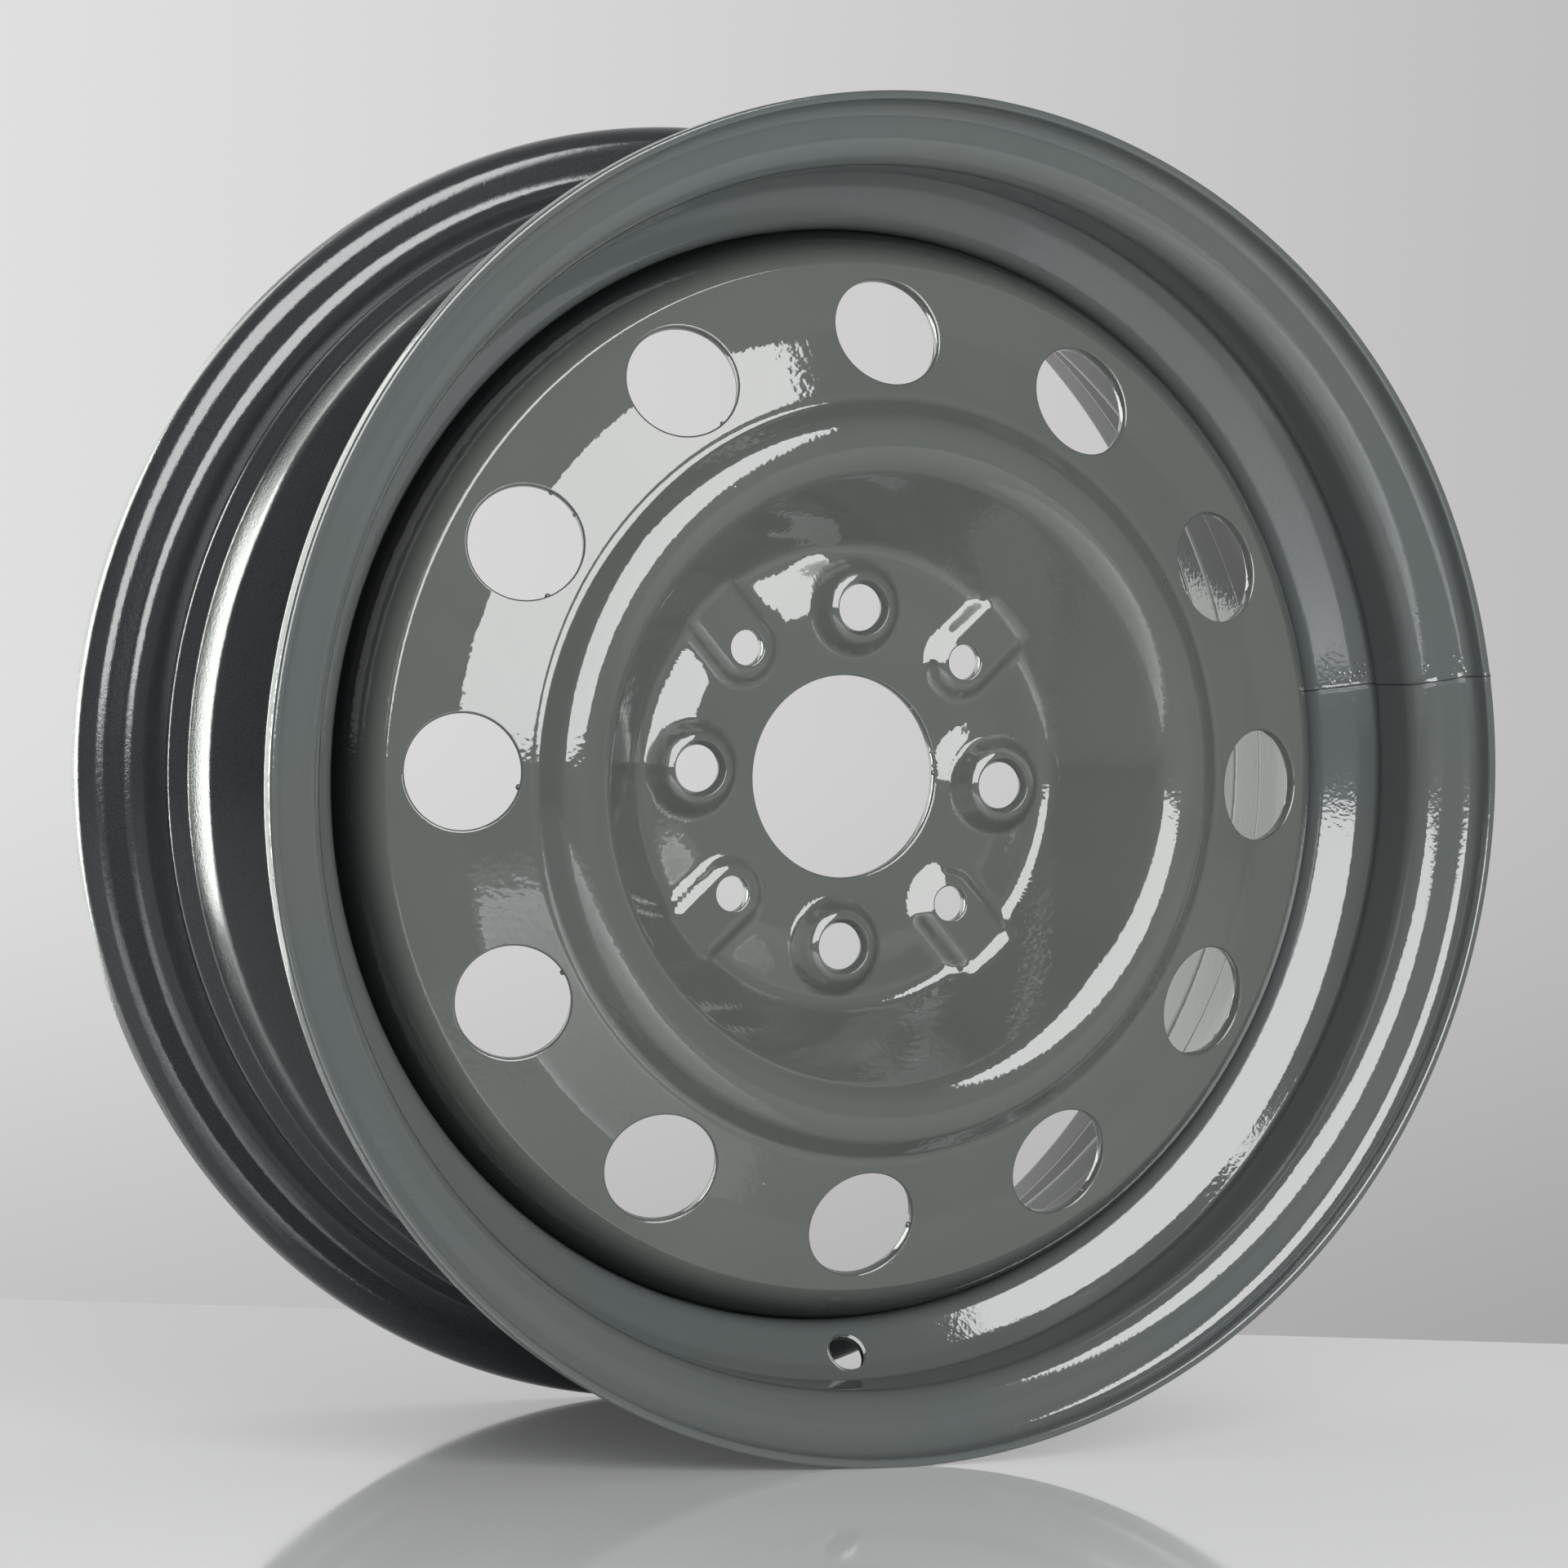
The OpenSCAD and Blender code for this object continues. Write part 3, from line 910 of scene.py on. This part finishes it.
def add_hub(skin):
    """A sector for each bolt hole and for each pin hole."""
    columns = DISC_COLUMNS // (2 * BOLT_COUNT)
    half = 180 / (2 * BOLT_COUNT)
    bolt_r = SEAT_TOP_R + HOLE_EDGE
    # Bolt holes have painted shade on the last steps of their wall, pin holes have none
    holes = [
        (BOLT_RADIUS, bolt_r, bolt_wall(bolt_r), SHADED_BORE_STEPS),
        (PIN_RADIUS, PIN_R + HOLE_EDGE, straight_wall(HOLE_EDGE), 0),
    ]
    for angles in zip(bolt_angles, pin_angles):
        for angle, (radius, edge_r, wall, bore_shade) in zip(angles, holes):
            loop = sector_loop(HUB_BAND, angle - half, angle + half, columns, HUB_SIDE_ROWS)
            holed_sector(skin, loop, polar(radius, angle), angle, (edge_r, edge_r), wall, HUB_RINGS, bore_shade)


def add_vents(skin):
    """A sector for each vent, which is oval in the disc's plane."""
    columns = DISC_COLUMNS // VENT_COUNT
    half = 180 / VENT_COUNT
    size = ((VENT_R + VENT_EDGE) * math.cos(math.radians(VENT_ANGLE)), VENT_R + VENT_EDGE)
    for k in range(VENT_COUNT):
        angle = k * 360 / VENT_COUNT
        loop = sector_loop(VENT_BAND, angle - half, angle + half, columns, VENT_SIDE_ROWS)
        holed_sector(skin, loop, polar(VENT_RADIUS, angle), angle, size, straight_wall(VENT_EDGE), VENT_RINGS)


def add_bore(skin):
    """The wall of the centre bore."""
    start = HUB_BAND[0]
    steps = [(start - step, DISC_SHEET - deep) for step, deep in straight_wall(DISC_EDGE)]
    profile = [(start, DISC_SHEET), *steps, (start, 0)]
    skin.grid([around(r, hub_angles, d) for r, d in profile])


def ring_flats(radii):
    """Rings whose columns turn from those of the hub to those of the vents."""
    shift = (vent_angles[0] - hub_angles[0] + pitch / 2) % pitch - pitch / 2
    ease = (radii - HUB_BAND[1]) / (VENT_BAND[0] - HUB_BAND[1])
    return np.array([polar(r, hub_angles + shift * e) for r, e in zip(radii, ease)])


def add_crest(skin):
    """The crest ring's front and back."""
    ahead = ring_flats(np.concatenate([np.linspace(*rows) for rows in CREST_ROWS]))
    skin.grid(front(ahead), normals=front_shade(ahead))
    behind = ring_flats(np.linspace(HUB_BAND[1], VENT_BAND[0], CREST_BACK_ROWS))
    skin.grid(back(behind), normals=back_shade(behind))


def flange_edge():
    """Points of the flange's rounded edge, from its outside to its inside."""
    end = DISC_EDGE_DEPTH + 2 * DISC_EDGE
    corners = [
        [DISC_R, end, 0],
        [DISC_R, DISC_EDGE_DEPTH, DISC_EDGE],
        [DISC_R - DISC_SHEET, DISC_EDGE_DEPTH, DISC_EDGE],
        [DISC_R - DISC_SHEET, end, 0],
    ]
    return trace(corners, turn=EDGE_TURN, span=EDGE_STEP)[0]


def add_shoulder(skin):
    """The shoulder and the flange inside the rim's well, from the front round to the back."""
    outline, _ = trace(disc_front, turn=SHOULDER_TURN, span=SHOULDER_STEP)
    past_start = outline[:, 0] > SHOULDER_STEPS[-1] + SHOULDER_GAP
    outer = past_start & (outline[:, 1] > DISC_EDGE_DEPTH + 2 * DISC_EDGE)
    inside = outline - DISC_SHEET * path_normals(np.gradient(outline, axis=0))
    profile = [*outline[outer], *flange_edge(), *inside[outer][::-2]]
    start = np.array([polar(r, vent_angles) for r in SHOULDER_STEPS])
    rows = list(front(start))
    rows += [around(r, vent_angles, d) for r, d in profile]
    rows += [back(start[0])]
    shade = np.zeros((len(rows), DISC_COLUMNS, 3))
    shade[:len(start)] = front_shade(start)
    skin.grid(rows, normals=shade)


def make_disc(material):
    skin = Skin()
    add_hub(skin)
    add_vents(skin)
    add_bore(skin)
    add_crest(skin)
    add_shoulder(skin)
    piece = skin.build("disc_pressing", material)
    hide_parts("disc")


# Weld beads

def weld_section(ripple, full):
    """A bead's section: its rippled face and the corner that it fills."""
    share = np.linspace(0, 1, WELD_FACE_POINTS)
    bulge = (WELD_BULGE + ripple) * 4 * share * (1 - share) / math.sqrt(2)
    r = WELD_R - full * (WELD_LEG * (1 - share) + bulge)
    depth = WELD_DEPTH - full * (WELD_LEG * share + bulge)
    return np.append(r, WELD_R), np.append(depth, WELD_DEPTH)


def make_welds(material):
    skin = Skin()
    place = np.linspace(-1, 1, WELD_COLUMNS)
    length = math.radians(WELD_ARC) * WELD_R / 2
    ripples = WELD_RIPPLE_HEIGHT * np.abs(np.sin(math.pi * place * length / WELD_RIPPLE))
    full = np.sqrt(np.clip(1 - np.abs(place) ** WELD_BLUNTNESS, 0, 1))
    for k in range(WELD_COUNT):
        rows = []
        for p, ripple, size in zip(place, ripples, full):
            r, depth = weld_section(ripple, size)
            rows.append(around(r, k * 360 / WELD_COUNT + p * WELD_ARC / 2, depth))
        skin.grid(rows)
    piece = skin.build("weld_beads_rippled", material)
    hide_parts("weld_beads")


# Beads of dried paint

def ball(skin, centre, size):
    rise = np.radians(np.linspace(-90, 90, NUB_RINGS))
    turn = np.radians(360 / NUB_COLUMNS * np.arange(NUB_COLUMNS))
    x, z = np.outer(np.cos(rise), np.cos(turn)), np.outer(np.cos(rise), np.sin(turn))
    y = np.repeat(np.sin(rise)[:, None], len(turn), 1)
    skin.grid(centre + size * np.stack([x, y, z], -1))


def make_nubs(material):
    skin = Skin()
    across = VENT_R * math.cos(math.radians(VENT_ANGLE))
    for vent, turn, size in VENT_NUBS:
        a = math.radians(turn)
        flat = polar(VENT_RADIUS + across * math.cos(a), vent)
        flat = flat + VENT_R * math.sin(a) * polar(1, vent + 90)
        ball(skin, front(flat) - DISC_SHEET / 2 * front_normal(flat[0], flat[1]), size)
    for turn, size in BORE_NUBS:
        ball(skin, around(BORE_R, turn, DISC_SHEET - size), size)
    piece = skin.build("paint_beads", material)


# Paints

class Nodes:
    """Adds and links the nodes of one tree."""

    def __init__(self, tree):
        self.tree = tree

    def feed(self, socket, value):
        """Links a socket to another one, or sets it to a value."""
        if isinstance(value, bpy.types.NodeSocket):
            self.tree.links.new(value, socket)
        else:
            socket.default_value = value

    def add(self, kind, inputs=None, **settings):
        """The outputs of a new node. Its inputs, by number or name, are fed."""
        node = self.tree.nodes.new("ShaderNode" + kind)
        for name, value in settings.items():
            setattr(node, name, value)
        for name, value in (inputs or {}).items():
            self.feed(node.inputs[name], value)
        return node.outputs

    def math(self, operation, a, b=0.0):
        return self.add("Math", {0: a, 1: b}, operation=operation)[0]

    def times(self, a, b):
        return self.math("MULTIPLY", a, b)

    def length(self, a, b):
        return self.math("SQRT", self.math("ADD", self.times(a, a), self.times(b, b)))

    def ramp(self, value, low, high, start=0.0, end=1.0):
        """Goes smoothly from start to end while a value goes from low to high."""
        inputs = {0: value, 1: low, 2: high, 3: start, 4: end}
        return self.add("MapRange", inputs, interpolation_type="SMOOTHSTEP")[0]

    def mix(self, share, first, second):
        """A colour between two."""
        return self.add("Mix", {0: share, 6: first, 7: second}, data_type="RGBA")[2]

    def between(self, share, first, second):
        """A number between two."""
        return self.add("Mix", {0: share, 2: first, 3: second}, data_type="FLOAT")[0]

    def dot(self, vector, axis):
        return self.add("VectorMath", {0: vector, 1: axis}, operation="DOT_PRODUCT")["Value"]

    def split(self, vector):
        return self.add("SeparateXYZ", {0: vector})

    def coat(self):
        """A mesh's share of dark colour: the rim's dark coat, and painted shade on the disc."""
        return self.add("Attribute", attribute_name="coat")["Fac"]

    def noise(self, vector, scale, detail=2.0):
        return self.add("TexNoise", {"Vector": vector, "Scale": scale, "Detail": detail})["Fac"]

    def cloud(self, vector, scale, low=0.3, high=0.7):
        """Soft patches from 0 to 1."""
        return self.ramp(self.noise(vector, scale), low, high)

    def uneven(self, vector, scale, start, end):
        """A number that wanders from start to end."""
        return self.ramp(self.noise(vector, scale), 0.2, 0.8, start, end)

    def dots(self, vector, scale, reach):
        """Round bumps, one in each cell of a random pattern."""
        cells = self.add("TexVoronoi", {"Vector": vector, "Scale": scale})
        return self.ramp(cells["Distance"], 0.0, reach, 1.0, 0.0)

    def bump(self, height, distance, below=None):
        """A bumpy normal, over another one."""
        inputs = {"Height": height, "Distance": distance}
        if below is not None:
            inputs["Normal"] = below
        return self.add("Bump", inputs)["Normal"]

    def ripples(self, vector, scale, distance, below=None):
        """A normal that noise makes bumpy."""
        return self.bump(self.noise(vector, scale, 1.0), distance, below)


class Paint(Nodes):
    """A new material, with its shader and its coordinates in metres."""

    def __init__(self, name):
        self.material = bpy.data.materials.new(name)
        self.material.use_nodes = True
        super().__init__(self.material.node_tree)
        self.shader = self.tree.nodes["Principled BSDF"]
        self.place = self.add("TexCoord")["Object"]

    def set(self, **inputs):
        """Feeds inputs of the shader, with _ for a space in their names, and gives the material."""
        for name, value in inputs.items():
            self.feed(self.shader.inputs[name.replace("_", " ")], value)
        return self.material


def disc_enamel():
    """Gloss enamel with a faint orange peel, slow waves of the pressing, specks of dust, and painted shade.
    """
    nodes = Paint("disc_enamel")
    place = nodes.place
    specks = nodes.times(nodes.dots(place, *DUST_DOTS), nodes.cloud(place, *DUST_PATCHES))
    grey = nodes.mix(nodes.cloud(place, 14.0), DISC_GREY, DISC_GREY_WARM)
    grey = nodes.mix(specks, grey, DUST)
    # Painted shade: the bolt holes' deepest steps are near black and dull
    bore_shade = nodes.coat()
    # Painted shade: the front darkens to near black in the groove beside the rim
    x, y, z = nodes.split(place)
    sunk = nodes.times(nodes.ramp(nodes.length(x, z), *GROOVE_SHADE_R), nodes.ramp(y, *GROOVE_SHADE_Y))
    dark = nodes.math("MAXIMUM", bore_shade, sunk)
    color = nodes.mix(dark, grey, PAINTED_SHADE_BLACK)
    gloss = nodes.uneven(place, 60.0, *DISC_GLOSS)
    dull = nodes.times(bore_shade, SHADED_BORE_ROUGHNESS)
    waves = nodes.ripples(place, *DISC_WAVES)
    peel = nodes.ripples(place, *DISC_PEEL, waves)
    dusty = nodes.bump(specks, DUST_HEIGHT, peel)
    return nodes.set(Base_Color=color, Roughness=nodes.math("MAXIMUM", gloss, dull), Normal=dusty)


def seam_marks(nodes, coat):
    """The dark line of the rim's seam, and the spatter above it."""
    place = nodes.place
    seam = math.radians(SEAM_ANGLE)
    above = nodes.dot(place, (-math.sin(seam), 0, math.cos(seam)))
    right_side = nodes.math("GREATER_THAN", nodes.split(place)[0], 0.0)
    open_side = nodes.times(right_side, nodes.math("SUBTRACT", 1.0, coat))
    near = nodes.times(nodes.ramp(above, *SPATTER_START), nodes.ramp(above, *SPATTER_END, 1.0, 0.0))
    near = nodes.times(near, open_side)
    patches = nodes.times(near, nodes.cloud(place, *SPATTER_PATCHES))
    spatter = nodes.times(nodes.dots(place, *SPATTER_DOTS), patches)
    line = nodes.ramp(nodes.math("ABSOLUTE", above), *SEAM_LINE, 1.0, 0.0)
    return nodes.times(line, open_side), spatter


def rolled_place(nodes):
    """Coordinates that are stretched along the way the rim was rolled."""
    x, y, z = nodes.split(nodes.place)
    turn = nodes.math("ARCTAN2", z, x)
    return nodes.add("CombineXYZ", {0: nodes.length(x, z), 1: y, 2: nodes.times(turn, ROLLED_STRETCH)})[0]


def rim_enamel():
    """Gloss enamel with a coarser peel, rolling lines and a spattered seam. The tyre side is a dark satin."""
    nodes = Paint("rim_enamel")
    place = nodes.place
    coat = nodes.coat()
    grain_scale, grain_height = TYRE_GRAIN
    grain = nodes.noise(place, grain_scale, 1.0)
    line, spatter = seam_marks(nodes, coat)

    grey = nodes.mix(nodes.cloud(place, 11.0), RIM_GREY, RIM_GREY_BLUE)
    grey = nodes.mix(line, grey, SEAM_DARK)
    dark = nodes.mix(nodes.ramp(grain, 0.35, 0.65), TYRE_DARK, TYRE_BLUE)
    color = nodes.mix(coat, grey, dark)
    gloss = nodes.uneven(place, 50.0, *RIM_GLOSS)
    satin = nodes.uneven(place, 25.0, *TYRE_SATIN)
    roughness = nodes.between(coat, gloss, satin)

    waves = nodes.ripples(place, *RIM_WAVES)
    drawn = nodes.ripples(rolled_place(nodes), *ROLLED_LINES, waves)
    peeled = nodes.ripples(place, *RIM_PEEL, drawn)
    grained = nodes.bump(nodes.times(grain, coat), grain_height, peeled)
    spattered = nodes.bump(spatter, SPATTER_HEIGHT, grained)
    seamed = nodes.bump(line, SEAM_LINE_DEPTH, spattered)
    return nodes.set(Base_Color=color, Roughness=roughness, Normal=seamed)


def weld_enamel():
    """The disc's enamel, laid thicker and rougher over the welds."""
    nodes = Paint("weld_enamel")
    place = nodes.place
    color = nodes.mix(nodes.noise(place, 120.0), DISC_GREY, TYRE_BLUE)
    satin = nodes.uneven(place, 200.0, *WELD_SATIN)
    scale, height = WELD_CRUST
    crust = nodes.bump(nodes.noise(place, scale), height)
    return nodes.set(Base_Color=color, Roughness=satin, Normal=crust)


def floor_white():
    """Pale glossy sheet with fine scuffs."""
    nodes = Paint("floor_white")
    place = nodes.place
    color = nodes.mix(nodes.noise(place, 2.0), FLOOR_PALE, FLOOR_GREY)
    nodes.set(Emission_Color=FLOOR_PALE, Emission_Strength=FLOOR_GLOW)
    drawn = nodes.add("Mapping", {"Vector": place, "Scale": SCUFF_STRETCH})[0]
    scuffs = nodes.ramp(nodes.noise(drawn, SCUFF_SCALE, 3.0), *SCUFF_BOUNDS)
    gloss = nodes.ramp(nodes.noise(place, 6.0), 0.3, 0.7, *FLOOR_GLOSS)
    roughness = nodes.math("ADD", gloss, nodes.times(scuffs, SCUFF_ROUGHNESS))
    return nodes.set(Base_Color=color, Roughness=roughness)


# Stage

def level_axes():
    """Level directions to the camera's right and ahead of it."""
    azimuth = math.radians(CAMERA_AZIMUTH)
    right = Vector((math.cos(azimuth), math.sin(azimuth), 0))
    ahead = Vector((-math.sin(azimuth), math.cos(azimuth), 0))
    return right, ahead


def direction(azimuth, elevation):
    """The direction from the wheel at an azimuth and elevation."""
    a, e = math.radians(azimuth), math.radians(elevation)
    return Vector((math.sin(a) * math.cos(e), -math.cos(a) * math.cos(e), math.sin(e)))


def view_axes():
    """The camera's right, up and backward axes."""
    roll = math.radians(CAMERA_ROLL)
    behind = direction(CAMERA_AZIMUTH, CAMERA_ELEVATION)
    right, _ = level_axes()
    up = behind.cross(right)
    rolled_right = right * math.cos(roll) + up * math.sin(roll)
    rolled_up = up * math.cos(roll) - right * math.sin(roll)
    return rolled_right, rolled_up, behind


def make_camera():
    data = bpy.data.cameras.new("camera")
    data.lens = CAMERA_LENS
    data.clip_start = CAMERA_CLIP
    camera = add_object("camera", data)
    turn = Matrix(view_axes()).transposed().to_4x4()
    camera.matrix_world = Matrix.Translation(Vector(CAMERA_PLACE) * MM) @ turn
    bpy.context.scene.camera = camera


def make_floor():
    right, ahead = level_axes()
    foot = Vector((CAMERA_PLACE[0] * MM, CAMERA_PLACE[1] * MM, rim_low.z))
    near, far = foot + ahead * FLOOR_NEAR, foot + ahead * FLOOR_FAR
    side = right * FLOOR_HALF_WIDTH
    mesh = bpy.data.meshes.new("floor")
    mesh.from_pydata([near - side, near + side, far + side, far - side], [], [(0, 1, 2, 3)])
    mesh.materials.append(floor_white())
    floor = add_object("floor", mesh)


def make_world():
    """A pale backdrop behind the wheel, lighter on the left, and a room that the wheel mirrors."""
    world = bpy.data.worlds.new("studio")
    world.use_nodes = True
    bpy.context.scene.world = world
    world.node_tree.nodes.clear()
    nodes = Nodes(world.node_tree)
    ray = nodes.add("TexCoord")["Generated"]
    right, ahead = level_axes()
    side, depth, rise = nodes.dot(ray, right), nodes.dot(ray, ahead), nodes.dot(ray, (0, 0, 1))
    seen = nodes.times(nodes.ramp(side, *BACKDROP_SPAN, *BACKDROP), nodes.ramp(rise, *BACKDROP_FOOT))
    panels = nodes.ramp(nodes.noise(ray, ROOM_PANEL_SCALE, 1.0), *ROOM_PANELS, *ROOM_FRONT)
    room = nodes.times(nodes.ramp(depth, *ROOM_DEPTH, panels, ROOM_BACK), nodes.ramp(side, *ROOM_SIDES))
    camera_ray = nodes.add("LightPath")["Is Camera Ray"]
    background = nodes.add("Background", {"Color": nodes.mix(camera_ray, room, seen)})[0]
    nodes.add("OutputWorld", {"Surface": background})


def make_lamp(name, shape, azimuth, elevation, distance, size, radiance, tint, mirrored):
    """A soft lamp that lights the wheel or is only mirrored by it."""
    data = bpy.data.lights.new(name, "AREA")
    data.shape = shape
    data.size, data.size_y = size
    area = size[0] * size[1] * (math.pi / 4 if shape == "ELLIPSE" else 1)
    data.energy = radiance * math.pi * area
    data.color = tint
    lamp = add_object(name, data)
    way = direction(azimuth, elevation)
    turn = way.to_track_quat("Z", "Y").to_matrix().to_4x4()
    lamp.matrix_world = Matrix.Translation(way * distance) @ turn
    lamp.visible_camera = False
    lamp.visible_diffuse = not mirrored
    lamp.visible_glossy = mirrored


make_camera()
enamel = disc_enamel()
make_rim(rim_enamel())
make_disc(enamel)
make_welds(weld_enamel())
make_nubs(enamel)
make_floor()
make_world()
for lamp in LAMPS:
    make_lamp(*lamp)
bpy.context.scene.view_settings.view_transform = "Standard"
